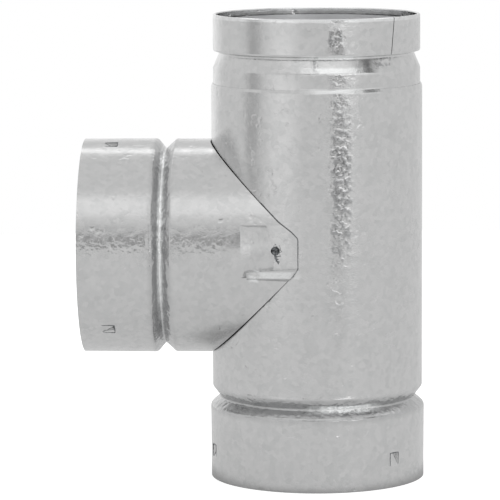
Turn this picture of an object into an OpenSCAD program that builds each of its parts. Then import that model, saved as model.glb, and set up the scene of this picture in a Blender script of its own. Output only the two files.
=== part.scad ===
// Double wall gas vent tee: a galvanised outer shell round an aluminium flue liner.
// The origin is on the axis of the run, in the plane of the bottom rim, with the run along +Z.
// The branch leaves along -X, and the front is -Y.

/* [Sheet] */
// Thickness of the galvanised outer sheet
sheet_t = 0.5; // [0.4:0.05:0.7]
// Thickness of the aluminium liner sheet
liner_t = 0.3; // [0.25:0.05:0.45]
// Free space between two sheets that lap
lap_gap = 0.06; // [0.04:0.02:0.12]

/* [Overall] */
// Bore of the flue liner
flue_d = 101.6; // [76:0.2:152]
// Air space between the liner and the outer shell
air_gap = 5.6; // [5:0.1:7]
// Length of plain shell between the bottom groove and the branch
lower_len = 18.2; // [6:0.02:80]
// Length of plain shell between the branch and the male end
upper_len = 30.8; // [22:0.02:80]
// Length of plain branch between the run and the groove of the branch
branch_len = 19.1; // [8:0.1:80]

/* [Female collar] */
// Free space round a male end inside a collar
collar_play = 1.5; // [1:0.05:1.6]
// Length of the straight lead at the rim
collar_lead = 10.8; // [10.2:0.1:11]
// Growth of the collar radius from the lead to the shoulder
collar_flare = 0.2; // [0:0.05:0.5]
// Depth of the collar from the rim to its shoulder
collar_depth = 39.6; // [38:0.1:41]
// Distance from the shoulder to the root of the stop groove
groove_drop = 4.6; // [4:0.1:5.5]
// Distance from the root of the stop groove to the body
groove_rise = 5.8; // [5:0.1:7]

/* [Lock lugs] */
// Number of lock lugs round a collar
lug_count = 3; // [2:1:4]
// Distance from the rim to the middle of a lug
lug_place = 15.2; // [14.8:0.1:18]
// Length of a lug along the duct
lug_len = 7.6; // [6:0.1:8]
// Width of a lug
lug_w = 6.2; // [4:0.1:7]
// Depth that a lug reaches below the sheet
lug_depth = 2.2; // [2:0.1:2.6]
// Width of the side of a lug, where its edge bends in
lug_side = 1.1; // [0.8:0.1:1.4]
// Angle of the first lug on the run, from the front towards +X
run_lug_angle = 47; // [40:1:54]
// Angle of the first lug on the branch, from the front downwards
branch_lug_angle = 44; // [38:1:50]

/* [Male end] */
// Free space between the sleeve and the run shell round it
sleeve_gap = 0.6; // [0.4:0.05:0.8]
// Height of the coupler band
band_h = 19.7; // [18:0.1:21]
// Depth of the fold of the band inside the top rim
hem_h = 1.9; // [1.5:0.1:2.5]
// Turned in edge at the foot of the band
band_tuck = 0.3; // [0.2:0.05:0.4]
// Angle of the band's joint, from the front towards +X
band_joint_angle = 48; // [40:1:60]
// Lean of the band's joint
band_joint_lean = 6.5; // [0:0.5:10]
// Distance from the foot of the band down to the root of the neck
neck_drop = 0.9; // [0.8:0.1:1.2]
// Height of the shoulder below the root of the neck
shoulder_h = 8.2; // [7:0.1:9.5]
// Distance from the top rim to the edge of the run shell
shell_drop = 37.4; // [35:0.1:40]
// Length of the sleeve inside the run shell
sleeve_lap = 18; // [12:0.5:24]

/* [Saddle] */
// Free space between the round of the branch and the run shell
saddle_play = 0.4; // [0.1:0.05:0.6]
// Angle round the run from the front to the end of an ear
ear_edge_angle = 8.65; // [8:0.05:10]
// Angle round the run from the front to where the pressed sheet meets the run
ear_touch_angle = 21.5; // [20:0.1:24]
// Length of the sheet that leans in from its crease to the run
press_len = 17.7; // [16:0.1:20]
// Depth of the step that the press leaves at the crease
press_step = 1.7; // [1.2:0.1:2.2]
// Lean of that step
press_step_angle = 26; // [22:1:32]
// Height of the top of the pressed part above the branch axis
ear_top = 17.4; // [15:0.1:18]
// Depth of the foot of the pressed part below the branch axis
ear_foot = 5; // [4:0.1:6]
// Depth of the ridge under the pressed part below the branch axis
ridge_drop = 10.5; // [9:0.1:12]
// Height of that ridge above the sheet of the branch at its start
ridge_h = 0.3; // [0.2:0.1:0.6]
// Angle at which that ridge swings out towards the run
ridge_swing = 3.5; // [1:0.5:4]
// Distance from the crease to the start of that ridge
ridge_start = 3; // [2:0.1:5]
// Height of the slope under that ridge
ridge_under = 1.2; // [0.8:0.1:2]
// Lean of the lip over that ridge, from the ridge to the foot of the pressed part
lip_lean = 1.6; // [1:0.1:2]
// Height of the lip at its start
lip_start_h = 2.8; // [2:0.1:4]
// Angle round the run from the front to a stake
stake_angle = 20.6; // [19:0.1:21]
// Height of a stake above the branch axis
stake_z = 3.6; // [3:0.1:5]
// Diameter of the pierced hole at a stake
stake_d = 4.8; // [4:0.1:5]
// Length of the neck that a stake drives through the run shell
stake_h = 1.5; // [1.4:0.1:1.6]

/* [Sleeve joint] */
// Angle of the sleeve's joint, from the front towards +X
sleeve_joint_angle = 1.5; // [-10:0.5:20]
// Width of the lap at the sleeve's joint
joint_w = 2.2; // [1.5:0.1:4]
// Height of the lap above the sleeve
joint_lift = 0.3; // [0.2:0.05:0.5]

/* [Liner] */
// Distance from the top rim down to the edge of the liner
liner_drop = 3.5; // [2.5:0.1:6]
// Distance from a collar's rim in to the edge of the liner
liner_recess = 12; // [11.5:0.1:16]
// Free space round the end of a liner in the bell of the next one
bell_play = 0.3; // [0.2:0.05:0.5]
// Half of the length of a bead of the liner
bead_half = 3.2; // [2.6:0.1:4]
// Height of the bead in a stop groove
groove_bead_h = 1.4; // [1.2:0.1:1.8]
// Height of the bead in the neck
neck_bead_h = 1; // [0.9:0.1:1.4]
// Free space between a bead of the liner and the shell
bead_gap = 0.2; // [0.1:0.05:0.3]

/* [Seams] */
// Width of the lock seam along a shell
seam_w = 8; // [6:0.5:10]
// Height of the lock seam above the sheet
seam_t = 0.8; // [0.6:0.1:1]
// Angle of the run's seam, from the front towards +X
run_seam_angle = 145; // [135:1:155]
// Angle of the branch's seam, from the front downwards
branch_seam_angle = 135; // [125:1:145]

/* [Hidden] */
$fn = 96;

galvanised = "#b4b6b8";
aluminium = "#d0d2d4";

// How far the corner of a groove lies under its rounded root
root_cut = 0.4;

// Bend radii of the formed sheet
shoulder_bend = 2.6;
root_bend = 1.1;
body_bend = 1.5;
neck_bend = 3;
shelf_bend = 0.5;

// Length of the slope behind a liner's bell
bell_slope = 1.6;

// Length of the end of the run shell that is crimped on to the sleeve
crimp_h = 1.6;

// How far a corner of an ear is cut back, and the radii of the outline's corners from the top down
ear_clip = 1.7;
ear_bends = [3, 2, 2.5, 1.2, 1.5];

// Depth of the blocks that the fold under an ear and the room over it are cut from
block = 4;

// Radii of the sheets, all at the outer face
flue_r = flue_d / 2;
liner_r = flue_r + liner_t;
shell_r = liner_r + air_gap + sheet_t;
snout_r = shell_r + saddle_play + sheet_t;
ear_r = shell_r + lap_gap + sheet_t;
male_r = shell_r - sheet_t - sleeve_gap;
collar_r = male_r + collar_play + sheet_t;
bell_r = liner_r + bell_play + liner_t;
groove_bead_r = liner_r + groove_bead_h;
neck_bead_r = liner_r + neck_bead_h;
groove_r = groove_bead_r + bead_gap + sheet_t;
neck_r = neck_bead_r + bead_gap + sheet_t;
branch_hole_r = liner_r + 4 * lap_gap;

// Heights on the run, and distances from the rim of the branch
groove_z = collar_depth + groove_drop;
body_z = groove_z + groove_rise;
branch_z = body_z + lower_len + snout_r;
branch_reach = body_z + branch_len + shell_r;
shell_top = branch_z + snout_r + upper_len;
run_h = shell_top + shell_drop;
band_foot = run_h - band_h;
neck_z = band_foot - neck_drop;
neck_foot = neck_z - shoulder_h;
sleeve_foot = shell_top - sleeve_lap;

// Distances from the run axis to the parts of an ear
ear_edge = shell_r * sin(ear_edge_angle);
ear_touch = shell_r * sin(ear_touch_angle);
ear_crease = ear_touch + press_len;

// Room past a face that a cut runs through
past = 1;

// Vectors in the plane of a profile
function unit(v) = v / norm(v);
function side(a, b) = let (u = unit(b - a)) [u[1], -u[0]];
function turn_sum(m, n) = (m + n) / (1 + m * n);
function last(p) = len(p) - 1;
function reversed(p) = [for (i = [last(p):-1:0]) p[i]];

// Moves a profile to its right by d, with its corners kept square
function shifted(p, d) = [
    for (i = [0:last(p)])
        p[i] + d * (i == 0 ? side(p[0], p[1])
            : i == last(p) ? side(p[i - 1], p[i])
            : turn_sum(side(p[i - 1], p[i]), side(p[i], p[i + 1])))
];

// Points of the bend of radius r where a profile turns at b
function bend(a, b, c, r, steps = 6) =
    let (
        u = unit(a - b),
        v = unit(c - b),
        half = acos(u * v) / 2,
        centre = b + unit(u + v) * r / sin(half),
        from = b + u * r / tan(half) - centre,
        to = b + v * r / tan(half) - centre,
        a0 = atan2(from[1], from[0]),
        swing = atan2(from[0] * to[1] - from[1] * to[0], from * to)
    )
    [for (i = [0:steps]) centre + r * [cos(a0 + swing * i / steps), sin(a0 + swing * i / steps)]];

// A profile from corners of the form [radius, height, bend radius]
function formed(corners) = [
    for (i = [0:last(corners)])
        let (c = corners[i], here = [c[0], c[1]])
        each (c[2] == 0 ? [here]
            : bend([corners[i - 1][0], corners[i - 1][1]], here,
                [corners[i + 1][0], corners[i + 1][1]], c[2]))
];

// The outer face of a female end, from its rim at height 0 to the body that it carries
function female_end(body_r) = [
    [collar_r, 0, 0],
    [collar_r, collar_lead, 0],
    [collar_r + collar_flare, collar_depth, shoulder_bend],
    [groove_r - root_cut, groove_z, root_bend],
    [body_r, body_z, body_bend]
];

run_path = formed(concat(female_end(shell_r), [
    [shell_r, shell_top - crimp_h, 0],
    [male_r + lap_gap + sheet_t, shell_top, 0]
]));

branch_path = formed(concat(female_end(snout_r), [[snout_r, branch_reach, 0]]));

sleeve_path = formed([
    [male_r, sleeve_foot, 0],
    [male_r, neck_foot, neck_bend],
    [neck_r - root_cut / 2, neck_z, root_bend],
    [male_r - sheet_t - lap_gap, neck_z + neck_drop + sheet_t, shelf_bend],
    [male_r - sheet_t - lap_gap, run_h - sheet_t - lap_gap, 0]
]);

// The solid of revolution inside a profile
module turned(path) {
    rotate_extrude()
        polygon(concat([[0, path[0][1]]], path, [[0, path[last(path)][1]]]));
}

// A revolved sheet of thickness t whose outer face follows a profile
module sheet(path, t) {
    rotate_extrude()
        polygon(concat(path, reversed(shifted(path, -t))));
}

// The space inside a revolved sheet, run past both of its ends
module sheet_core(path, t) {
    inner = shifted(path, -t);
    top = inner[last(inner)];
    turned(concat([inner[0] - [0, past]], inner, [top + [0, past]]));
}

// Puts a shape that is built up from the branch rim in its place on the run
module on_branch() {
    translate([-branch_reach, 0, branch_z])
        rotate([0, 90, 0])
            children();
}

// Both sides of the run, the rear one a mirror of the front one
module front_and_rear() {
    children();
    mirror([0, 1, 0])
        children();
}

// The room that a lug takes below the sheet, from its ramp to its lanced edge, grown by t
module lug_room(t) {
    ramp_foot = lug_place - lug_len / 2 - t;
    catch = lug_place + lug_len / 2;
    bottom = collar_r - lug_depth - t;
    half = lug_w / 2 + t;
    intersection() {
        translate([-half, 0, 0])
            rotate([90, 0, 90])
                linear_extrude(2 * half)
                    polygon([
                        [-collar_r + t, ramp_foot],
                        [-bottom, catch],
                        [-collar_r - past, catch],
                        [-collar_r - past, ramp_foot]
                    ]);
        linear_extrude(catch + past)
            polygon([
                [-half, -collar_r - past],
                [-half, -collar_r],
                [lug_side - half, -bottom],
                [half - lug_side, -bottom],
                [half, -collar_r],
                [half, -collar_r - past]
            ]);
    }
}

module lug_rooms(first_angle, t) {
    for (i = [0:lug_count - 1])
        rotate([0, 0, first_angle + i * 360 / lug_count])
            lug_room(t);
}

// A flat strip along a shell, the outer fold of its lock seam
module lock_seam(r, from, to, angle) {
    rotate([0, 0, angle])
        intersection() {
            difference() {
                translate([0, 0, from])
                    cylinder(r = r + seam_t, h = to - from);
                translate([0, 0, from - past])
                    cylinder(r = r - sheet_t / 2, h = to - from + 2 * past);
            }
            translate([-seam_w / 2, -r - 2 * seam_t, from - past])
                cube([seam_w, r, to - from + 2 * past]);
        }
}

// The outline of the branch shell as seen from the front: mitred to the run, with an ear at its point
module saddle_outline() {
    far = snout_r + block;
    outline = formed([
        [-branch_reach - past, far, 0],
        [-far, far, 0],
        [-ear_top - ear_clip, ear_top + ear_clip, ear_bends[0]],
        [-ear_edge - 2 * ear_clip, ear_edge + 3 * ear_clip, ear_bends[1]],
        [-ear_edge, ear_edge + ear_clip, ear_bends[2]],
        [-ear_edge, -ear_foot - ear_clip / 2, ear_bends[3]],
        [-ridge_drop - ear_clip, -ridge_drop, ear_bends[4]],
        [-far, -far, 0],
        [-branch_reach - past, -far, 0]
    ]);
    polygon(outline);
}

module saddle_prism() {
    translate([0, 0, branch_z])
        rotate([90, 0, 0])
            linear_extrude(3 * snout_r, center = true)
                saddle_outline();
}

// Runs a profile of [y, height over the branch axis] along X
module along_x(from, to, profile) {
    translate([from, 0, branch_z])
        rotate([90, 0, 90])
            linear_extrude(to - from)
                polygon(profile);
}

// How far the front of the pressed sheet lies from the branch axis where it meets the run
touch_y = sqrt(ear_r * ear_r - ear_touch * ear_touch);
press_angle = atan((snout_r - touch_y - press_step) / (ear_crease - ear_touch));

// The branch's round, set in by a depth at the crease and leaned from there towards the run
module leaned_round(r, depth, lean) {
    translate([-ear_crease, depth - snout_r, branch_z])
        rotate([0, 0, lean])
            translate([0, snout_r, 0])
                rotate([0, 90, 0])
                    cylinder(r = r, h = 3 * ear_crease, center = true);
}

// The region below the upper edge of the lip as seen from the front, down by t
module below_lip(t) {
    start = ridge_start + t - ear_crease;
    translate([0, 0, branch_z])
        rotate([90, 0, 0])
            linear_extrude(3 * snout_r, center = true)
                polygon([
                    [start, -ear_crease],
                    [start, lip_start_h - ridge_drop - t],
                    [0, -ear_foot - t],
                    [0, -ear_crease]
                ]);
}

// The fold under an ear, in by t: a lip over a sharp ridge that swings out towards the run
module ear_ridge(t) {
    crest = ridge_h - t;
    intersection() {
        translate([-ear_crease, -snout_r, 0])
            rotate([0, 0, -ridge_swing])
                along_x(0, 2 * ear_crease, [
                    [-crest, -ridge_drop + t / 2],
                    [lip_lean - crest, -ear_foot],
                    [lip_lean - crest + block, -ear_foot],
                    [2 * block, -ridge_drop - ridge_under - block],
                    [2 - crest, -ridge_drop - ridge_under + t]
                ]);
        below_lip(t);
    }
}

// The end of an ear, which is bent over the run beside the branch's round
module ear_wrap() {
    intersection() {
        cylinder(r = ear_r, h = 2 * branch_z);
        along_x(-ear_touch, 0, [
            [-ear_r - past, -ear_foot],
            [-ear_r / 2, -ear_foot],
            [-ear_r / 2, ear_top + 2 * ear_clip],
            [-ear_r - past, ear_top + 2 * ear_clip]
        ]);
    }
}

// The room over the ear that is pressed in, down to a floor that leans to the run and then follows it
module ear_room(t) {
    far_y = snout_r + block;
    difference() {
        along_x(-1.5 * ear_crease, ear_crease / 2, [
            [-far_y, -ridge_drop - t],
            [-touch_y + block, -ridge_drop - t],
            [-touch_y + block, ear_top + t],
            [-far_y, ear_top + t]
        ]);
        leaned_round(snout_r - t, 0, press_step_angle);
        leaned_round(snout_r - t, press_step, press_angle);
        cylinder(r = ear_r - t, h = 2 * branch_z);
        ear_ridge(t);
    }
}

// Puts a shape on the front stake, with its axis square to the run
module at_stake() {
    translate([0, 0, branch_z + stake_z])
        rotate([0, 0, -stake_angle])
            rotate([90, 0, 0])
                children();
}

// The pierced neck that holds the front ear to the run shell
module stake_neck() {
    at_stake()
        difference() {
            translate([0, 0, ear_r - sheet_t / 2 - stake_h])
                cylinder(d = stake_d + 2 * sheet_t, h = stake_h);
            translate([0, 0, ear_r - past - stake_h - sheet_t])
                cylinder(d = stake_d, h = stake_h + 2 * past + sheet_t);
        }
}

module stake_hole(d) {
    at_stake()
        translate([0, 0, shell_r - block])
            cylinder(d = d, h = 2 * block);
}

module run_shell() color(galvanised) {
    difference() {
        union() {
            turned(run_path);
            lock_seam(shell_r, body_z + 1, shell_top - crimp_h - 1, run_seam_angle);
        }
        difference() {
            sheet_core(run_path, sheet_t);
            lug_rooms(run_lug_angle, sheet_t);
        }
        lug_rooms(run_lug_angle, 0);
        translate([-shell_r - past, 0, branch_z])
            rotate([0, 90, 0])
                cylinder(r = branch_hole_r, h = shell_r + past);
        front_and_rear()
            stake_hole(stake_d + 2 * sheet_t + 2 * lap_gap);
    }
}

module branch_shell() color(galvanised) {
    difference() {
        intersection() {
            difference() {
                union() {
                    on_branch() {
                        turned(branch_path);
                        lock_seam(snout_r, body_z + 1, branch_reach, branch_seam_angle);
                    }
                    front_and_rear() {
                        ear_ridge(0);
                        ear_wrap();
                    }
                }
                difference() {
                    union() {
                        on_branch()
                            sheet_core(branch_path, sheet_t);
                        front_and_rear()
                            ear_ridge(sheet_t);
                    }
                    front_and_rear()
                        ear_room(sheet_t);
                    on_branch()
                        lug_rooms(branch_lug_angle, sheet_t);
                }
                front_and_rear()
                    ear_room(0);
                on_branch()
                    lug_rooms(branch_lug_angle, 0);
                cylinder(r = shell_r + lap_gap, h = 2 * branch_z);
            }
            saddle_prism();
        }
        front_and_rear()
            stake_hole(stake_d);
    }
    front_and_rear()
        stake_neck();
}

// The lap of the sleeve's own joint, which stands a little proud from the run shell to the neck
module sleeve_joint() {
    intersection() {
        sheet(shifted(sleeve_path, joint_lift), sheet_t + joint_lift);
        rotate([0, 0, sleeve_joint_angle])
            translate([-joint_w / 2, -shell_r, shell_top + past])
                cube([joint_w, shell_r, neck_z - shell_top - past]);
    }
}

module neck_sleeve() color(galvanised) {
    sheet(sleeve_path, sheet_t);
    sleeve_joint();
}

// A strip bent round the sleeve and folded over its top edge, with its two ends at a leaning joint
module coupler_band() color(galvanised) {
    wall = [
        [male_r - band_tuck, band_foot],
        [male_r, band_foot + 3 * band_tuck],
        [male_r, run_h - sheet_t]
    ];
    fold_r = male_r - sheet_t / 2 - lap_gap - sheet_t - lap_gap;
    inner_r = fold_r - sheet_t - sheet_t / 2;
    difference() {
        rotate_extrude()
            polygon(concat(
                wall,
                [[male_r - sheet_t, run_h], [inner_r + sheet_t / 2, run_h]],
                [[inner_r, run_h - sheet_t], [inner_r, run_h - hem_h]],
                [[inner_r + sheet_t, run_h - hem_h], [inner_r + sheet_t, run_h - sheet_t]],
                [[male_r - sheet_t, run_h - sheet_t], [male_r - sheet_t, band_foot + 3 * band_tuck]],
                [[male_r - sheet_t - band_tuck, band_foot]]
            ));
        rotate([0, 0, band_joint_angle])
            translate([0, -male_r, band_foot + band_h / 2])
                rotate([0, band_joint_lean, 0])
                    cube([0.5, 8, 2 * band_h], center = true);
    }
}

// The outer face of a liner bead at height z that reaches the radius r
function bead(z, r) = [
    [liner_r, z - bead_half, 1],
    [r, z - bead_half / 4, 0.6],
    [r, z + bead_half / 4, 0.6],
    [liner_r, z + bead_half, 1]
];

// The wide end of a liner, deep enough for the liner of a pipe that is pushed in to the stop groove
liner_bell = [
    [bell_r, liner_recess, 0],
    [bell_r, collar_depth - liner_drop + bell_slope / 2, 1],
    [liner_r, collar_depth - liner_drop + 3 * bell_slope / 2, 1]
];

run_liner_path = formed(concat(
    liner_bell,
    bead(groove_z, groove_bead_r),
    bead(neck_z, neck_bead_r),
    [[liner_r, run_h - liner_drop, 0]]
));

branch_liner_path = formed(concat(
    liner_bell,
    bead(groove_z, groove_bead_r),
    [[liner_r, branch_reach, 0]]
));

// The quarter space on the branch side of the two mitre planes, moved off by gap
module mitre_prism(gap) {
    far = branch_reach + past;
    translate([-gap, 0, branch_z])
        rotate([90, 0, 0])
            linear_extrude(2 * branch_reach, center = true)
                polygon([[0, 0], [-far, far], [-far, -far]]);
}

module run_liner() color(aluminium)
    difference() {
        sheet(run_liner_path, liner_t);
        mitre_prism(0);
    }

module branch_liner() color(aluminium)
    intersection() {
        on_branch()
            sheet(branch_liner_path, liner_t);
        mitre_prism(2 * lap_gap);
    }

run_shell();
branch_shell();
neck_sleeve();
coupler_band();
run_liner();
branch_liner();
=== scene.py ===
"""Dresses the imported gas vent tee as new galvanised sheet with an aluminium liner, in a plain white studio."""

import logging
import math
import random
from dataclasses import dataclass, field
from enum import Enum

import bpy
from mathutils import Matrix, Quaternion, Vector


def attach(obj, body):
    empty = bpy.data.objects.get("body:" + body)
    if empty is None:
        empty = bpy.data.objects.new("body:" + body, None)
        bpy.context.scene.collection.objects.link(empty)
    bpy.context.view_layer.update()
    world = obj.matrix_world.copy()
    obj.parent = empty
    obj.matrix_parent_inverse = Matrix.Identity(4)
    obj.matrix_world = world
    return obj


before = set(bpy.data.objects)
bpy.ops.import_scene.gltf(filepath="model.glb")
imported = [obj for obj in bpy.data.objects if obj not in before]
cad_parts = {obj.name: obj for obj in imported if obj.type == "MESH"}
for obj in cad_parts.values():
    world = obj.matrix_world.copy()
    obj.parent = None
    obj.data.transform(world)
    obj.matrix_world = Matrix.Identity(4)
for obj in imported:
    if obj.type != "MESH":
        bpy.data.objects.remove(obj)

log = logging.getLogger("vent_tee")
logging.basicConfig(level=logging.INFO, format="%(message)s")

MM = 0.001
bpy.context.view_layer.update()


class Slot(Enum):
    """The record's material slots."""

    GALVANISED = "galvanised_steel"
    ALUMINIUM = "liner_aluminium"


def linear(hex_colour: str) -> tuple[float, float, float, float]:
    """Turns an sRGB hex colour to the linear values that a shader takes.

    Args:
        hex_colour: Six hex digits after a hash sign.

    Returns:
        Linear red, green and blue, with an alpha of 1.
    """
    channels = [int(hex_colour[i : i + 2], 16) / 255 for i in (1, 3, 5)]
    red, green, blue = (c / 12.92 if c <= 0.04045 else ((c + 0.055) / 1.055) ** 2.4 for c in channels)
    return red, green, blue, 1.0


def per_metre(size_mm: float) -> float:
    """The texture scale at which one cell of a pattern measures size_mm."""
    return 1 / (size_mm * MM)


def add_node(tree: bpy.types.NodeTree, kind: str, links: dict | None = None, **settings) -> bpy.types.Node:
    """Adds a node with its settings, its values and its links.

    Args:
        tree: The node tree that gets the node.
        kind: The node's type name.
        links: Input name or index to a socket that feeds it, or to a plain value.
        settings: Properties of the node.

    Returns:
        The new node.
    """
    node = tree.nodes.new(kind)
    for name, value in settings.items():
        setattr(node, name, value)
    for key, value in (links or {}).items():
        if isinstance(value, bpy.types.NodeSocket):
            tree.links.new(value, node.inputs[key])
        else:
            node.inputs[key].default_value = value
    return node


def noise(
    tree: bpy.types.NodeTree,
    place: bpy.types.NodeSocket,
    size_mm: float,
    detail: float,
    roughness: float = 0.5,
    output: str = "Fac",
) -> bpy.types.NodeSocket:
    """Adds a noise of a real size.

    Args:
        tree: The node tree that gets it.
        place: Socket with the place on the object.
        size_mm: Size of the largest lumps.
        detail: Number of finer layers.
        roughness: Strength of each finer layer against the one before.
        output: The output that is wanted.

    Returns:
        The noise's socket.
    """
    links = {"Vector": place, "Scale": per_metre(size_mm), "Detail": detail, "Roughness": roughness}
    return add_node(tree, "ShaderNodeTexNoise", links).outputs[output]


def threshold(
    tree: bpy.types.NodeTree, value: bpy.types.NodeSocket, low: float, high: float
) -> bpy.types.NodeSocket:
    """Adds a soft step that is 0 below low and 1 above high."""
    links = {"Value": value, "From Min": low, "From Max": high}
    step = add_node(tree, "ShaderNodeMapRange", links, interpolation_type="SMOOTHSTEP")
    return step.outputs["Result"]


def product(tree: bpy.types.NodeTree, first, second) -> bpy.types.NodeSocket:
    """Adds the product of two values."""
    return add_node(tree, "ShaderNodeMath", {0: first, 1: second}, operation="MULTIPLY").outputs[0]


def math_node(tree: bpy.types.NodeTree, operation: str, *values) -> bpy.types.NodeSocket:
    """Adds a sum on one or more values.

    Args:
        tree: The node tree that gets it.
        operation: The kind of sum.
        values: Sockets or plain values, in order.

    Returns:
        The result's socket.
    """
    return add_node(tree, "ShaderNodeMath", dict(enumerate(values)), operation=operation).outputs[0]


def blend(tree: bpy.types.NodeTree, factor, first, second) -> bpy.types.NodeSocket:
    """Adds a colour that goes from the first to the second with the factor."""
    mix = add_node(tree, "ShaderNodeMix", {"Factor": factor}, data_type="RGBA")
    for socket, value in ((mix.inputs[6], first), (mix.inputs[7], second)):
        if isinstance(value, bpy.types.NodeSocket):
            tree.links.new(value, socket)
        else:
            socket.default_value = value
    return mix.outputs[2]


def relief(
    tree: bpy.types.NodeTree, height: bpy.types.NodeSocket, lift_mm: float, below: bpy.types.NodeSocket | None
) -> bpy.types.NodeSocket:
    """Adds a layer of relief of a real height on top of the one below."""
    links = {"Height": height, "Distance": abs(lift_mm) * MM, "Strength": 1.0}
    if below is not None:
        links["Normal"] = below
    return add_node(tree, "ShaderNodeBump", links, invert=lift_mm < 0).outputs["Normal"]


@dataclass(frozen=True)
class GalvanisedSteel:
    """Hot dip galvanised sheet: a bright zinc skin whose crystals tilt the reflection from grain to grain.

    The spangle shows as flat faced patches of slightly different tilt and tone. The sheet was rolled by
    hand tools, so it has long soft waves, and rubbing has left bright flecks and small dents on it.
    Lighter zinc paints highlights on the bends, the crimp, the hem, the ear's strip and the groove ridges.
    Darker zinc paints shade in the grooves, and on the run's rubbed patches it is partly marks and partly
    painted dark reflection; the darker cut edges are bare metal that also paints the shadow line along them.
    """

    name: str = "galvanised_sheet"
    zinc: str = "#dbdbdb"
    dull_zinc: str = "#c9caca"
    # Bare cut-edge colour, darker than the zinc, which also paints the shadow line along the edges.
    bare_cut_edge_and_shadow: str = "#7b7c7d"
    # Darker zinc: painted shade in the grooves, and partly marks, partly painted dark reflection on the run's
    # rubbed patches.
    shade_and_smudge_zinc: str = "#9b9c9d"
    # Light zinc of the rubbed flecks, also the colour of the painted highlights.
    fleck_and_highlight: str = "#f6f7f7"
    roughness: float = 0.2
    roughness_spread: float = 0.14
    spangle_mm: float = 2.6
    ripple_mm: float = 2.0
    wave_mm: float = 22.0
    dent_mm: float = 9.0
    fleck_mm: float = 7.0
    spangle_lift: float = 0.014
    ripple_lift: float = 0.034
    wave_lift: float = 0.2
    dent_lift: float = 0.12
    wrinkle_mm: float = 4.5
    wrinkle_lift: float = 0.9
    scuff_mm: float = 2.4
    scuff_lift: float = 0.36
    groove_shade_share: float = 0.45
    smudge_and_reflection_share: float = 0.6
    smudge_and_reflection_from_x: float = -38.0
    sheared_and_shadow_share: float = 0.85
    edge_cosine: float = 0.35
    branch_z: float = 126.3
    # Rubbed patches by middle and half size along X and Z in mm; on the run their darker zinc is partly marks and
    # partly painted dark reflection.
    scuffs_and_dark_reflections: tuple[tuple[float, float, float, float], ...] = (
        (14.8, 166.0, 8.6, 62.0),
        (-106.0, 132.5, 40.0, 8.5),
        (-62.0, 132.5, 24.0, 8.5),
        (11.4, 243.0, 6.0, 7.0),
        (37.4, 229.0, 5.0, 3.5),
        (1.2, 228.0, 2.5, 5.0),
        (15.0, 44.0, 15.0, 5.0),
    )
    # Boxes by middle and half size along X and Z in mm where lighter zinc paints highlights on the bends, the
    # crimp, the hem, the ear's strip and the groove ridges.
    painted_highlights: tuple[tuple[float, float, float, float], ...] = (
        (-20.5, 117.3, 12.5, 2.2),
        (0.0, 251.8, 60.0, 1.2),
        (14.5, 225.1, 20.0, 2.1),
        (14.5, 214.5, 20.0, 1.5),
        (10.0, 232.0, 16.0, 1.2),
        (-32.0, 115.5, 2.6, 2.2),
        (-82.4, 140.0, 1.5, 50.0),
        (16.0, 44.4, 20.0, 2.4),
    )
    # Groove bands by axis, middle and half width in mm: wrinkled, and darkened as painted shade.
    worked_and_shaded_zones: tuple[tuple[str, float, float], ...] = (
        ("Z", 44.0, 8.0),
        ("X", -82.0, 8.0),
    )

    def build(self) -> bpy.types.Material:
        """Builds the zinc skin.

        Returns:
            The finished material.
        """
        material = bpy.data.materials.new(self.name)
        material.use_nodes = True
        tree = material.node_tree
        tree.nodes.clear()
        place = add_node(tree, "ShaderNodeTexCoord").outputs["Object"]
        grain, edge = self.spangle(tree, place)
        mottle = noise(tree, place, 4 * self.spangle_mm, detail=6.0, roughness=0.65)
        ripple = noise(tree, place, self.ripple_mm, detail=3.0, roughness=0.6)
        wave = noise(tree, place, self.wave_mm, detail=2.0, roughness=0.45)
        dents = threshold(tree, noise(tree, place, self.dent_mm, detail=2.0, roughness=0.7), 0.6, 0.72)
        rubbed = threshold(tree, noise(tree, place, self.fleck_mm, detail=8.0, roughness=0.85), 0.66, 0.74)
        tone = product(tree, grain.outputs["Red"], mottle)
        colour = blend(tree, tone, linear(self.zinc), linear(self.dull_zinc))
        worn = blend(tree, product(tree, rubbed, 0.7), colour, linear(self.fleck_and_highlight))
        painted_highlight_mask = self.patches(tree, place, self.painted_highlights)
        rough = noise(tree, place, self.scuff_mm, detail=1.0, roughness=0.4)
        scuff_and_reflection_mask = product(tree, rough, self.scuff_and_reflection_mask(tree, place))
        along = add_node(tree, "ShaderNodeSeparateXYZ", {0: place}).outputs["X"]
        # On the run the rubbed patches get darker zinc: partly marks, partly painted dark reflection.
        on_run = math_node(tree, "GREATER_THAN", along, self.smudge_and_reflection_from_x * MM)
        smudge_and_dark_reflection = product(tree, threshold(tree, scuff_and_reflection_mask, 0.4, 0.56), on_run)
        smudged_with_dark_reflection = blend(tree, product(tree, smudge_and_dark_reflection, self.smudge_and_reflection_share), worn, linear(self.shade_and_smudge_zinc))
        # Groove bands: real wrinkles in the relief, and darker zinc as painted shade in the grooves.
        rolled = self.worked_and_shaded(tree, place)
        groove_shaded = blend(tree, product(tree, rolled, self.groove_shade_share), smudged_with_dark_reflection, linear(self.shade_and_smudge_zinc))
        # Painted highlights: lighter zinc in the listed boxes.
        painted_highlights = blend(tree, painted_highlight_mask, groove_shaded, linear(self.fleck_and_highlight))
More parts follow.
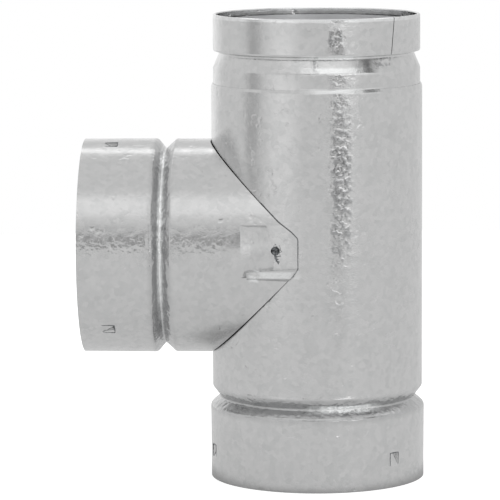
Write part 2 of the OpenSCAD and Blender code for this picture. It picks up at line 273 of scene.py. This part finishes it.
        # Cut edges: bare metal colour, partly real and partly a painted shadow line.
        sheared = product(tree, self.cut_edges(tree, place), self.sheared_and_shadow_share)
        finish = blend(tree, sheared, painted_highlights, linear(self.bare_cut_edge_and_shadow))
        gloss = add_node(
            tree,
            "ShaderNodeMapRange",
            {
                "Value": mottle,
                "From Min": 0.3,
                "From Max": 0.7,
                "To Min": self.roughness - self.roughness_spread / 2,
                "To Max": self.roughness + self.roughness_spread / 2,
            },
        )
        wrinkle = noise(tree, place, self.wrinkle_mm, detail=1.5, roughness=0.45)
        skin = None
        for height, lift in (
            (product(tree, wrinkle, rolled), self.wrinkle_lift),
            (scuff_and_reflection_mask, self.scuff_lift),
            (wave, self.wave_lift),
            (dents, -self.dent_lift),
            (product(tree, grain.outputs["Green"], edge), self.spangle_lift),
            (ripple, self.ripple_lift),
        ):
            skin = relief(tree, height, lift, skin)
        shader = add_node(
            tree,
            "ShaderNodeBsdfPrincipled",
            {"Base Color": finish, "Metallic": 1.0, "Roughness": gloss.outputs["Result"], "Normal": skin},
        )
        add_node(tree, "ShaderNodeOutputMaterial", {"Surface": shader.outputs["BSDF"]})
        return material

    def worked_and_shaded(self, tree: bpy.types.NodeTree, place: bpy.types.NodeSocket) -> bpy.types.NodeSocket:
        """Adds the zones that the grooving rolls have wrinkled, each a band across one axis, where shade in the
        grooves is also painted.

        Args:
            tree: The material's node tree.
            place: Socket with the place on the object.

        Returns:
            Socket that is 1 in the middle of a zone and 0 outside all of them.
        """
        axes = add_node(tree, "ShaderNodeSeparateXYZ", {0: place})
        total = None
        for axis, middle, half in self.worked_and_shaded_zones:
            off = add_node(
                tree, "ShaderNodeMath", {0: axes.outputs[axis], 1: middle * MM}, operation="SUBTRACT"
            )
            far = add_node(tree, "ShaderNodeMath", {0: off.outputs[0]}, operation="ABSOLUTE")
            links = {"Value": far.outputs[0], "From Min": 0.3 * half * MM, "From Max": half * MM}
            links.update({"To Min": 1.0, "To Max": 0.0})
            zone = add_node(tree, "ShaderNodeMapRange", links, interpolation_type="SMOOTHSTEP").outputs["Result"]
            if total is None:
                total = zone
            else:
                total = add_node(tree, "ShaderNodeMath", {0: total, 1: zone}, operation="MAXIMUM").outputs[0]
        return total

    def patches(
        self,
        tree: bpy.types.NodeTree,
        place: bpy.types.NodeSocket,
        boxes: tuple[tuple[float, float, float, float], ...],
    ) -> bpy.types.NodeSocket:
        """Adds ragged patches, each by its middle and half size along X and Z in mm.

        Args:
            tree: The material's node tree.
            place: Socket with the place on the object.
            boxes: The patches.

        Returns:
            Socket that is 1 inside a patch and falls off to a ragged edge.
        """
        ragged = noise(tree, place, 2 * self.scuff_mm, detail=4.0, roughness=0.7)
        axes = add_node(tree, "ShaderNodeSeparateXYZ", {0: place})
        total = None
        for mid_x, mid_z, half_x, half_z in boxes:
            reach = ragged
            sides = []
            for axis, middle, half in (("X", mid_x, half_x), ("Z", mid_z, half_z)):
                off = math_node(tree, "SUBTRACT", axes.outputs[axis], middle * MM)
                sides.append(math_node(tree, "DIVIDE", math_node(tree, "ABSOLUTE", off), half * MM))
            reach = math_node(tree, "ADD", math_node(tree, "MAXIMUM", *sides), ragged)
            patch = math_node(tree, "SUBTRACT", 1.0, threshold(tree, reach, 0.9, 1.7))
            total = patch if total is None else math_node(tree, "MAXIMUM", total, patch)
        return total

    def scuff_and_reflection_mask(self, tree: bpy.types.NodeTree, place: bpy.types.NodeSocket) -> bpy.types.NodeSocket:
        """Adds the rubbed patches on the front, which on the run also mark where dark reflections are painted."""
        axes = add_node(tree, "ShaderNodeSeparateXYZ", {0: place})
        front = math_node(tree, "LESS_THAN", axes.outputs["Y"], 0.0)
        return product(tree, self.patches(tree, place, self.scuffs_and_dark_reflections), front)

    def cut_edges(self, tree: bpy.types.NodeTree, place: bpy.types.NodeSocket) -> bpy.types.NodeSocket:
        """Adds the sheared edges, the faces that stand square to the rolled skin, whose darker colour also paints
        the shadow line along them.

        Args:
            tree: The material's node tree.
            place: Socket with the place on the object.

        Returns:
            Socket that is 1 on a sheared edge and 0 on the skin.
        """
        normal = add_node(tree, "ShaderNodeNewGeometry").outputs["True Normal"]
        facing = []
        for centre, keep in (((0.0, 0.0, 0.0), (1.0, 1.0, 0.0)), ((0.0, 0.0, self.branch_z * MM), (0.0, 1.0, 1.0))):
            arm = add_node(tree, "ShaderNodeVectorMath", {0: place, 1: centre}, operation="SUBTRACT")
            flat = add_node(tree, "ShaderNodeVectorMath", {0: arm.outputs[0], 1: keep}, operation="MULTIPLY")
            out = add_node(tree, "ShaderNodeVectorMath", {0: flat.outputs[0]}, operation="NORMALIZE")
            dot = add_node(tree, "ShaderNodeVectorMath", {0: normal, 1: out.outputs[0]}, operation="DOT_PRODUCT")
            facing.append(math_node(tree, "ABSOLUTE", dot.outputs["Value"]))
        skin = math_node(tree, "MAXIMUM", *facing)
        level = math_node(tree, "ABSOLUTE", add_node(tree, "ShaderNodeSeparateXYZ", {0: normal}).outputs["Z"])
        upright = math_node(tree, "LESS_THAN", level, 0.9)
        return product(tree, math_node(tree, "LESS_THAN", skin, self.edge_cosine), upright)

    def spangle(
        self, tree: bpy.types.NodeTree, place: bpy.types.NodeSocket
    ) -> tuple[bpy.types.Node, bpy.types.NodeSocket]:
        """Adds the zinc crystals.

        Args:
            tree: The material's node tree.
            place: Socket with the place on the object.

        Returns:
            Node with a colour for each crystal, and a socket that is 0 at a crystal's edge and 1 inside it.
        """
        bent = noise(tree, place, self.spangle_mm, detail=3.0, roughness=0.6, output="Color")
        shift = add_node(
            tree, "ShaderNodeVectorMath", {0: bent, "Scale": 0.5 * self.spangle_mm * MM}, operation="SCALE"
        )
        crooked = add_node(tree, "ShaderNodeVectorMath", {0: place, 1: shift.outputs[0]}, operation="ADD")
        setup = {"Vector": crooked.outputs[0], "Scale": per_metre(self.spangle_mm), "Randomness": 1.0}
        cells = add_node(tree, "ShaderNodeTexVoronoi", setup, feature="F1")
        rim = add_node(tree, "ShaderNodeTexVoronoi", setup, feature="DISTANCE_TO_EDGE")
        inside = threshold(tree, rim.outputs["Distance"], 0.0, 0.22)
        return add_node(tree, "ShaderNodeSeparateColor", {"Color": cells.outputs["Color"]}), inside


@dataclass(frozen=True)
class MillAluminium:
    """Mill finish aluminium sheet: soft fine lines round the tube from the rolls; its outer side, which faces the
    shell, is darker as painted shade.
    """

    name: str
    centre: tuple[float, float, float]
    across: tuple[float, float, float]
    outside: str = "#9fa1a3"
    bright: str = "#f4f4f5"
    dull: str = "#e8e9ea"
    roughness: float = 0.36
    line_mm: float = 0.9
    line_lift: float = 0.006

    def build(self) -> bpy.types.Material:
        """Builds the rolled sheet.

        Returns:
            The finished material.
        """
        material = bpy.data.materials.new(self.name)
        material.use_nodes = True
        tree = material.node_tree
        tree.nodes.clear()
        place = add_node(tree, "ShaderNodeTexCoord").outputs["Object"]
        lines = noise(tree, place, self.line_mm, detail=2.0)
        cloud = noise(tree, place, 30 * self.line_mm, detail=3.0)
        normal = add_node(tree, "ShaderNodeNewGeometry").outputs["True Normal"]
        arm = add_node(tree, "ShaderNodeVectorMath", {0: place, 1: self.centre}, operation="SUBTRACT")
        out = add_node(tree, "ShaderNodeVectorMath", {0: arm.outputs[0], 1: self.across}, operation="MULTIPLY")
        facing = add_node(tree, "ShaderNodeVectorMath", {0: normal, 1: out.outputs[0]}, operation="DOT_PRODUCT")
        # Faces that point away from the axis get the darker colour, painted shade between liner and shell.
        outer = math_node(tree, "GREATER_THAN", facing.outputs["Value"], 0.0)
        inside = blend(tree, cloud, linear(self.bright), linear(self.dull))
        shader = add_node(
            tree,
            "ShaderNodeBsdfPrincipled",
            {
                "Base Color": blend(tree, outer, inside, linear(self.outside)),
                "Metallic": 1.0,
                "Roughness": self.roughness,
                "Normal": relief(tree, lines, self.line_lift, None),
            },
        )
        add_node(tree, "ShaderNodeOutputMaterial", {"Surface": shader.outputs["BSDF"]})
        return material


def dress(node_name: str, material: bpy.types.Material) -> None:
    """Gives a CAD node its finish.

    Args:
        node_name: The node in the frame.
        material: The finish that it gets.
    """
    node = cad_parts[node_name]
    node.data.materials.clear()
    node.data.materials.append(material)
    log.info("%s: %s", node_name, material.name)


@dataclass(frozen=True)
class TornZincAndShade:
    """Sheet torn by the punch: its zinc is broken, so it is rough and darker than the skin round it; the dark also
    paints shade in the stake's hole, the crack, and along the ear's and the lugs' edges.
    """

    name: str = "torn_edge_and_painted_shade"
    torn_dark_and_shade: str = "#6f7173"
    zinc: str = "#a9abad"
    roughness: float = 0.42
    speck_mm: float = 0.8
    speck_lift: float = 0.12

    def build(self) -> bpy.types.Material:
        """Builds the torn edge.

        Returns:
            The finished material.
        """
        material = bpy.data.materials.new(self.name)
        material.use_nodes = True
        tree = material.node_tree
        tree.nodes.clear()
        place = add_node(tree, "ShaderNodeTexCoord").outputs["Object"]
        speck = noise(tree, place, self.speck_mm, detail=3.0, roughness=0.7)
        shader = add_node(
            tree,
            "ShaderNodeBsdfPrincipled",
            {
                # Dark colour: partly torn metal, partly painted shade.
                "Base Color": blend(tree, threshold(tree, speck, 0.4, 0.7), linear(self.torn_dark_and_shade), linear(self.zinc)),
                "Metallic": 1.0,
                "Roughness": self.roughness,
                "Normal": relief(tree, speck, self.speck_lift, None),
            },
        )
        add_node(tree, "ShaderNodeOutputMaterial", {"Surface": shader.outputs["BSDF"]})
        return material


def finish_piece(
    piece: bpy.types.Object, name: str, material: bpy.types.Material
) -> bpy.types.Object:
    """Names a new piece, gives it its finish and lets it ride on the fitting.

    Args:
        piece: The new piece, its place in its mesh.
        name: The name it gets.
        material: Its finish.

    Returns:
        The same piece.
    """
    piece.name = name
    piece.data.materials.clear()
    piece.data.materials.append(material)
    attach(piece, "root")
    return piece


def tube(points: list[Vector], radii_mm: list[float], sides: int = 2) -> bpy.types.Object:
    """Runs a closed ended round wire through points.

    Args:
        points: The places it runs through, in metres.
        radii_mm: Its radius at each of them.
        sides: Bevel resolution of its round.

    Returns:
        The wire as a mesh.
    """
    bpy.ops.object.select_all(action="DESELECT")
    bpy.ops.curve.primitive_nurbs_path_add()
    wire = bpy.context.active_object
    wire.data.splines.clear()
    spline = wire.data.splines.new("POLY")
    spline.points.add(len(points) - 1)
    for target, place, radius in zip(spline.points, points, radii_mm):
        target.co = (*place, 1.0)
        target.radius = radius
    wire.data.bevel_depth = MM
    wire.data.bevel_resolution = sides
    wire.data.use_fill_caps = True
    bpy.ops.object.convert(target="MESH")
    bpy.ops.object.transform_apply(location=True, rotation=True, scale=True)
    return bpy.context.active_object


@dataclass(frozen=True)
class Ear:
    """The torn and sheared metal of one ear: the stake's petals, its crack and the burr along the ear's edge. Their
    dark finish also paints the shade in the stake's hole and the crack, and the shadow line under the ear's edge.

    Places on the ear are measured from the branch's axis, along X and up, in mm.
    """

    name: str
    side: int
    seed: int
    branch_z: float = 126.3
    skin_r: float = 57.76
    stake: tuple[float, float] = (-20.2, 3.6)
    mouth: float = 3.1
    tip: float = 1.0
    depth: float = 1.2
    petals: int = 19
    petal_t: float = 0.2
    crack: tuple[tuple[float, float, float], ...] = (
        (-0.6, -2.2, 0.6),
        (0.3, -3.1, 1.0),
        (-0.2, -3.9, 0.6),
        (0.9, -4.5, 1.05),
        (0.4, -5.3, 0.6),
        (1.6, -5.9, 0.85),
        (1.4, -6.9, 0.35),
        (2.3, -7.8, 0.15),
    )
    crescent: tuple[tuple[float, float, float], ...] = (
        (-3.4, -1.0, 0.15),
        (-2.9, -2.2, 0.5),
        (-1.9, -3.1, 0.55),
        (-0.9, -3.5, 0.15),
    )
    edge: tuple[tuple[float, float, float], ...] = (
        (-24.0, 24.2, 0.0),
        (-18.95, 19.25, 3.0),
        (-11.85, 13.85, 2.0),
        (-8.45, 10.3, 2.5),
        (-8.45, -5.9, 1.2),
        (-12.1, -10.6, 1.5),
        (-13.7, -12.25, 0.0),
    )
    edge_radius: float = 0.2

    def on_ear(self, along: float, up: float, out: float = 0.0) -> Vector:
        """Finds the place on the ear's face, which is round about the run.

        Args:
            along: Place along X in mm.
            up: Height over the branch's axis in mm.
            out: Height over the face in mm.

        Returns:
            The place in metres.
        """
        radius = self.skin_r + out
        depth = math.sqrt(radius**2 - along**2)
        return Vector((along, self.side * depth, self.branch_z + up)) * MM

    def rounded_edge(self, steps: int = 6) -> list[tuple[float, float]]:
        """Rounds the corners of the edge by their radii."""
        path = [self.edge[0][:2]]
        for before, corner, after in zip(self.edge, self.edge[1:], self.edge[2:]):
            tip = Vector(corner[:2])
            to_before = (Vector(before[:2]) - tip).normalized()
            to_after = (Vector(after[:2]) - tip).normalized()
            half = to_before.angle(to_after) / 2
            setback = corner[2] / math.tan(half)
            centre = tip + (to_before + to_after).normalized() * (corner[2] / math.sin(half))
            start, end = tip + to_before * setback - centre, tip + to_after * setback - centre
            for i in range(steps + 1):
                share = i / steps
                arm = (start * (1 - share) + end * share).normalized() * corner[2]
                path.append(tuple(centre + arm))
        path.append(self.edge[-1][:2])
        return path

    def build_petals(self, draw: random.Random) -> bpy.types.Object:
        """Tears the petals that the punch leaves round the stake, one ragged cone of thin sheet."""
        bpy.ops.object.select_all(action="DESELECT")
        bpy.ops.mesh.primitive_cone_add(
            vertices=self.petals,
            radius1=self.tip * MM,
            radius2=self.mouth * MM,
            depth=self.depth * MM,
            end_fill_type="NOTHING",
        )
        burr = bpy.context.active_object
        for vertex in burr.data.vertices:
            at_tip = vertex.co.z < 0
            vertex.co.xy = vertex.co.xy * (draw.uniform(0.3, 1.4) if at_tip else draw.uniform(0.74, 1.34))
            vertex.co.z += draw.uniform(-1, 1) * self.depth * MM * (0.3 if at_tip else 0.08)
        skin = burr.modifiers.new("thickness", "SOLIDIFY")
        skin.thickness = self.petal_t * MM
        skin.offset = 1.0
        bpy.ops.object.modifier_apply(modifier=skin.name)
        middle = self.on_ear(*self.stake, out=0.1 - self.depth / 2)
        outward = Vector((middle.x, middle.y, 0.0)).normalized()
        burr.location = middle
        burr.rotation_euler = outward.to_track_quat("Z", "Y").to_euler()
        bpy.ops.object.transform_apply(location=True, rotation=True, scale=True)
        return burr

    def build(self, torn: bpy.types.Material, zinc: bpy.types.Material) -> None:
        """Builds the pieces.

        Args:
            torn: The finish of torn and sheared sheet, which also paints shade.
            zinc: The finish of the skin.
        """
        draw = random.Random(self.seed)
        # The dark petals also paint the shade in the stake's hole.
        finish_piece(self.build_petals(draw), f"{self.name}_stake_petals", torn)
        # The crack's dark wire also paints the shade in the crack.
        for part, course, out, finish in (
            ("crack", self.crack, -0.28, torn),
            ("bent_petal", self.crescent, 0.05, zinc),
        ):
            places = [self.on_ear(self.stake[0] + x, self.stake[1] + z, out) for x, z, _ in course]
            wire = tube(places, [radius for *_, radius in course])
            finish_piece(wire, f"{self.name}_{part}", finish)
        # The dark wire along the ear's edge also paints the shadow line under it.
        path = self.rounded_edge()
        wire = tube([self.on_ear(x, z, -self.edge_radius) for x, z in path], [self.edge_radius] * len(path))
        finish_piece(wire, f"{self.name}_sheared_edge", torn)


@dataclass(frozen=True)
class LugCuts:
    """The sheared edges of a collar's lock lugs, dark where the zinc is cut through, a dark that also paints the
    shade at the lugs' edges.

    Places are measured on the collar: round it from the middle of the lug, and from its rim.
    """

    name: str
    first_angle: float
    on_branch: bool
    count: int = 3
    radius: float = 58.1
    branch_z: float = 126.3
    reach: float = 126.3
    cut: tuple[tuple[float, float, float], ...] = (
        (-3.1, 12.0, 0.15),
        (-3.15, 15.5, 0.26),
        (-3.1, 18.9, 0.32),
        (0.0, 19.0, 0.34),
        (3.1, 18.9, 0.28),
        (3.1, 15.5, 0.16),
        (3.1, 12.6, 0.1),
    )

    def place(self, angle: float, aside: float, height: float) -> Vector:
        """Finds a place on the collar.

        Args:
            angle: The lug's angle round the collar, in radians.
            aside: Distance from the lug's middle, in mm.
            height: Distance from the rim, in mm.

        Returns:
            The place in metres.
        """
        turn = angle + aside / self.radius
        across, out = self.radius * math.sin(turn), -self.radius * math.cos(turn)
        if self.on_branch:
            return Vector((height - self.reach, out, self.branch_z - across)) * MM
        return Vector((across, out, height)) * MM

    def build(self, torn: bpy.types.Material) -> None:
        """Builds the sheared edges of every lug of the collar.

        Args:
            torn: The finish of torn and sheared sheet, which also paints shade.
        """
        for i in range(self.count):
            angle = math.radians(self.first_angle + i * 360 / self.count)
            wire = tube([self.place(angle, s, h) for s, h, _ in self.cut], [r for *_, r in self.cut])
            finish_piece(wire, f"{self.name}_lug_cut_{i + 1}", torn)


@dataclass
class Tee:
    """The whole fitting: the galvanised shells and band, and the liners inside."""

    outer: tuple[str, ...] = ("run_shell", "branch_shell", "neck_sleeve", "coupler_band")
    ears: tuple[Ear, ...] = (Ear("front", -1, 5), Ear("rear", 1, 9))
    lug_cuts: tuple[LugCuts, ...] = (LugCuts("run", 47.0, False), LugCuts("branch", 44.0, True))

    def build(self) -> None:
        """Dresses every node."""
        zinc = GalvanisedSteel().build()
        liners = {
            "run_liner": MillAluminium("run_mill_aluminium", (0.0, 0.0, 0.0), (1.0, 1.0, 0.0)),
            "branch_liner": MillAluminium("branch_mill_aluminium", (0.0, 0.0, 126.3 * MM), (0.0, 1.0, 1.0)),
        }
        for name in self.outer:
            dress(name, zinc)
        for name, finish in liners.items():
            dress(name, finish.build())
        torn = TornZincAndShade().build()
        for ear in self.ears:
            ear.build(torn, zinc)
        for cuts in self.lug_cuts:
            cuts.build(torn)


@dataclass(frozen=True)
class SoftPatch:
    """A soft edged bright or dark area of the studio, by its direction from the object."""

    azimuth: float
    elevation: float
    half_width: float
    half_height: float
    softness: float
    gain: float


@dataclass
class Studio:
    """A white sweep, a plain sky of light with soft boxes and flags, and the camera."""

    sky: float = 0.74
    floor_radius: float = 1.1
    floor_white: str = "#f2f2f2"
    floor_lift: float = 0.6
    floor_seen_in_metal: float = 0.735
    painted_floor_shadow: float = 0.3
    shadow_near_mm: float = 60.0
    shadow_far_mm: float = 78.0
    camera_distance: float = 1.9
    camera_azimuth: float = 2.9
    camera_elevation: float = 7.3
    camera_roll: float = 0.3
    aim: tuple[float, float, float] = (-0.0366, 0.0, 0.1235)
    lens: float = 250.6
    patches: list[SoftPatch] = field(
        default_factory=lambda: [
            SoftPatch(-5, 49, 60, 11, 0.5, 0.26),
            SoftPatch(180, 50, 75, 5, 0.6, 0.7),
            SoftPatch(-3, 14.5, 11, 8.5, 0.5, -0.42),
            SoftPatch(33, 3.5, 16, 3.5, 0.35, 0.95),
            SoftPatch(27, 38, 22, 8, 0.5, 0.12),
            SoftPatch(68, 30, 9, 10, 0.4, -0.66),
            SoftPatch(24.7, -7, 6.5, 7, 0.5, -0.68),
            SoftPatch(-72, -4, 9, 16, 0.5, -0.26),
            SoftPatch(-36, -5, 15, 9, 0.5, 0.17),
            SoftPatch(-160, 0, 25, 20, 0.5, 0.25),
        ]
    )

    def build_floor(self) -> None:
        """Lays the floor, a round white sweep that keeps the object's shadow; in the metal's reflections it glows
        dimmer near the object, a painted shadow.
        """
        bpy.ops.object.select_all(action="DESELECT")
        bpy.ops.mesh.primitive_circle_add(vertices=96, radius=self.floor_radius, fill_type="NGON")
        floor = bpy.context.active_object
        floor.name = "floor"
        material = bpy.data.materials.new("white_floor")
        material.use_nodes = True
        tree = material.node_tree
        tree.nodes.clear()
        ray = add_node(tree, "ShaderNodeLightPath")
        paint = add_node(tree, "ShaderNodeBsdfDiffuse", {"Color": linear(self.floor_white)})
        lift = add_node(tree, "ShaderNodeEmission", {"Color": (1, 1, 1, 1), "Strength": self.floor_lift})
        seen = add_node(tree, "ShaderNodeAddShader", {0: paint.outputs[0], 1: lift.outputs[0]})
        first = add_node(
            tree,
            "ShaderNodeMixShader",
            {0: ray.outputs["Is Camera Ray"], 1: paint.outputs[0], 2: seen.outputs[0]},
        )
        # Painted shadow: in reflections the floor glows dimmer near the object.
        place = add_node(tree, "ShaderNodeTexCoord").outputs["Object"]
        away = add_node(tree, "ShaderNodeVectorMath", {0: place}, operation="LENGTH").outputs["Value"]
        links = {"Value": away, "From Min": self.shadow_near_mm * MM, "From Max": self.shadow_far_mm * MM}
        links.update({"To Min": self.painted_floor_shadow, "To Max": self.floor_seen_in_metal})
        shade = add_node(tree, "ShaderNodeMapRange", links).outputs["Result"]
        mirror = add_node(tree, "ShaderNodeEmission", {"Color": (1, 1, 1, 1), "Strength": shade})
        half = add_node(
            tree, "ShaderNodeMath", {0: ray.outputs["Is Glossy Ray"], 1: 0.6}, operation="MULTIPLY"
        )
        second = add_node(
            tree,
            "ShaderNodeMixShader",
            {0: half.outputs[0], 1: first.outputs[0], 2: mirror.outputs[0]},
        )
        add_node(tree, "ShaderNodeOutputMaterial", {"Surface": second.outputs[0]})
        floor.data.materials.append(material)

    def build_sky(self) -> None:
        """Sets the world: even light with the soft patches, and plain white behind the object."""
        world = bpy.data.worlds.new("studio_sky")
        bpy.context.scene.world = world
        world.use_nodes = True
        tree = world.node_tree
        tree.nodes.clear()
        way = add_node(tree, "ShaderNodeTexCoord").outputs["Generated"]
        axis = add_node(tree, "ShaderNodeSeparateXYZ", {0: way})
        back = add_node(tree, "ShaderNodeMath", {0: axis.outputs["Y"], 1: -1.0}, operation="MULTIPLY")
        turn = add_node(
            tree, "ShaderNodeMath", {0: axis.outputs["X"], 1: back.outputs[0]}, operation="ARCTAN2"
        )
        azimuth = add_node(tree, "ShaderNodeMath", {0: turn.outputs[0]}, operation="DEGREES")
        rise = add_node(tree, "ShaderNodeMath", {0: axis.outputs["Z"]}, operation="ARCSINE")
        elevation = add_node(tree, "ShaderNodeMath", {0: rise.outputs[0]}, operation="DEGREES")
        total = None
        for patch in self.patches:
            glow = self.patch_nodes(tree, patch, azimuth.outputs[0], elevation.outputs[0])
            before = self.sky if total is None else total
            total = add_node(tree, "ShaderNodeMath", {0: glow, 1: before}, operation="ADD").outputs[0]
        floor_level = add_node(tree, "ShaderNodeMath", {0: total, 1: 0.05}, operation="MAXIMUM")
        ray = add_node(tree, "ShaderNodeLightPath")
        strength = add_node(
            tree,
            "ShaderNodeMix",
            {"Factor": ray.outputs["Is Camera Ray"], "A": floor_level.outputs[0], "B": 1.0},
            data_type="FLOAT",
        )
        light = add_node(
            tree, "ShaderNodeBackground", {"Color": (1, 1, 1, 1), "Strength": strength.outputs["Result"]}
        )
        add_node(tree, "ShaderNodeOutputWorld", {"Surface": light.outputs[0]})

    @staticmethod
    def patch_nodes(
        tree: bpy.types.NodeTree,
        patch: SoftPatch,
        azimuth: bpy.types.NodeSocket,
        elevation: bpy.types.NodeSocket,
    ) -> bpy.types.NodeSocket:
        """Adds the nodes of one soft patch.

        Args:
            tree: The world's node tree.
            patch: The patch to add.
            azimuth: Socket with the direction's azimuth in degrees.
            elevation: Socket with the direction's elevation in degrees.

        Returns:
            Socket with the light that the patch adds or takes.
        """
        off = add_node(tree, "ShaderNodeMath", {0: azimuth, 1: patch.azimuth}, operation="SUBTRACT")
        wrapped = add_node(
            tree, "ShaderNodeMath", {0: off.outputs[0], 1: 180.0, 2: -180.0}, operation="WRAP"
        )
        across = add_node(
            tree, "ShaderNodeMath", {0: wrapped.outputs[0], 1: patch.half_width}, operation="DIVIDE"
        )
        up = add_node(tree, "ShaderNodeMath", {0: elevation, 1: patch.elevation}, operation="SUBTRACT")
        along = add_node(
            tree, "ShaderNodeMath", {0: up.outputs[0], 1: patch.half_height}, operation="DIVIDE"
        )
        pair = add_node(tree, "ShaderNodeCombineXYZ", {"X": across.outputs[0], "Y": along.outputs[0]})
        reach = add_node(tree, "ShaderNodeVectorMath", {0: pair.outputs[0]}, operation="LENGTH")
        glow = add_node(
            tree,
            "ShaderNodeMapRange",
            {
                "Value": reach.outputs["Value"],
                "From Min": 1 - patch.softness,
                "From Max": 1 + patch.softness,
                "To Min": patch.gain,
                "To Max": 0.0,
            },
            interpolation_type="SMOOTHSTEP",
        )
        return glow.outputs["Result"]

    def build_camera(self) -> None:
        """Stands the camera at the photograph's viewing angle."""
        azimuth = math.radians(self.camera_azimuth)
        elevation = math.radians(self.camera_elevation)
        way = Vector(
            (
                math.sin(azimuth) * math.cos(elevation),
                -math.cos(azimuth) * math.cos(elevation),
                math.sin(elevation),
            )
        )
        data = bpy.data.cameras.new("camera")
        data.sensor_width = 36.0
        data.lens = self.lens
        camera = bpy.data.objects.new("camera", data)
        bpy.context.scene.collection.objects.link(camera)
        camera.location = Vector(self.aim) + way * self.camera_distance
        roll = Quaternion((0.0, 0.0, 1.0), math.radians(-self.camera_roll))
        camera.rotation_euler = ((-way).to_track_quat("-Z", "Y") @ roll).to_euler()
        bpy.context.scene.camera = camera

    def build(self) -> None:
        """Builds the floor, the light and the camera."""
        self.build_floor()
        self.build_sky()
        self.build_camera()
        bpy.context.scene.view_settings.view_transform = "Standard"


def main() -> None:
    """Builds the fitting and the studio."""
    Tee().build()
    Studio().build()


if __name__ == "__main__":
    main()
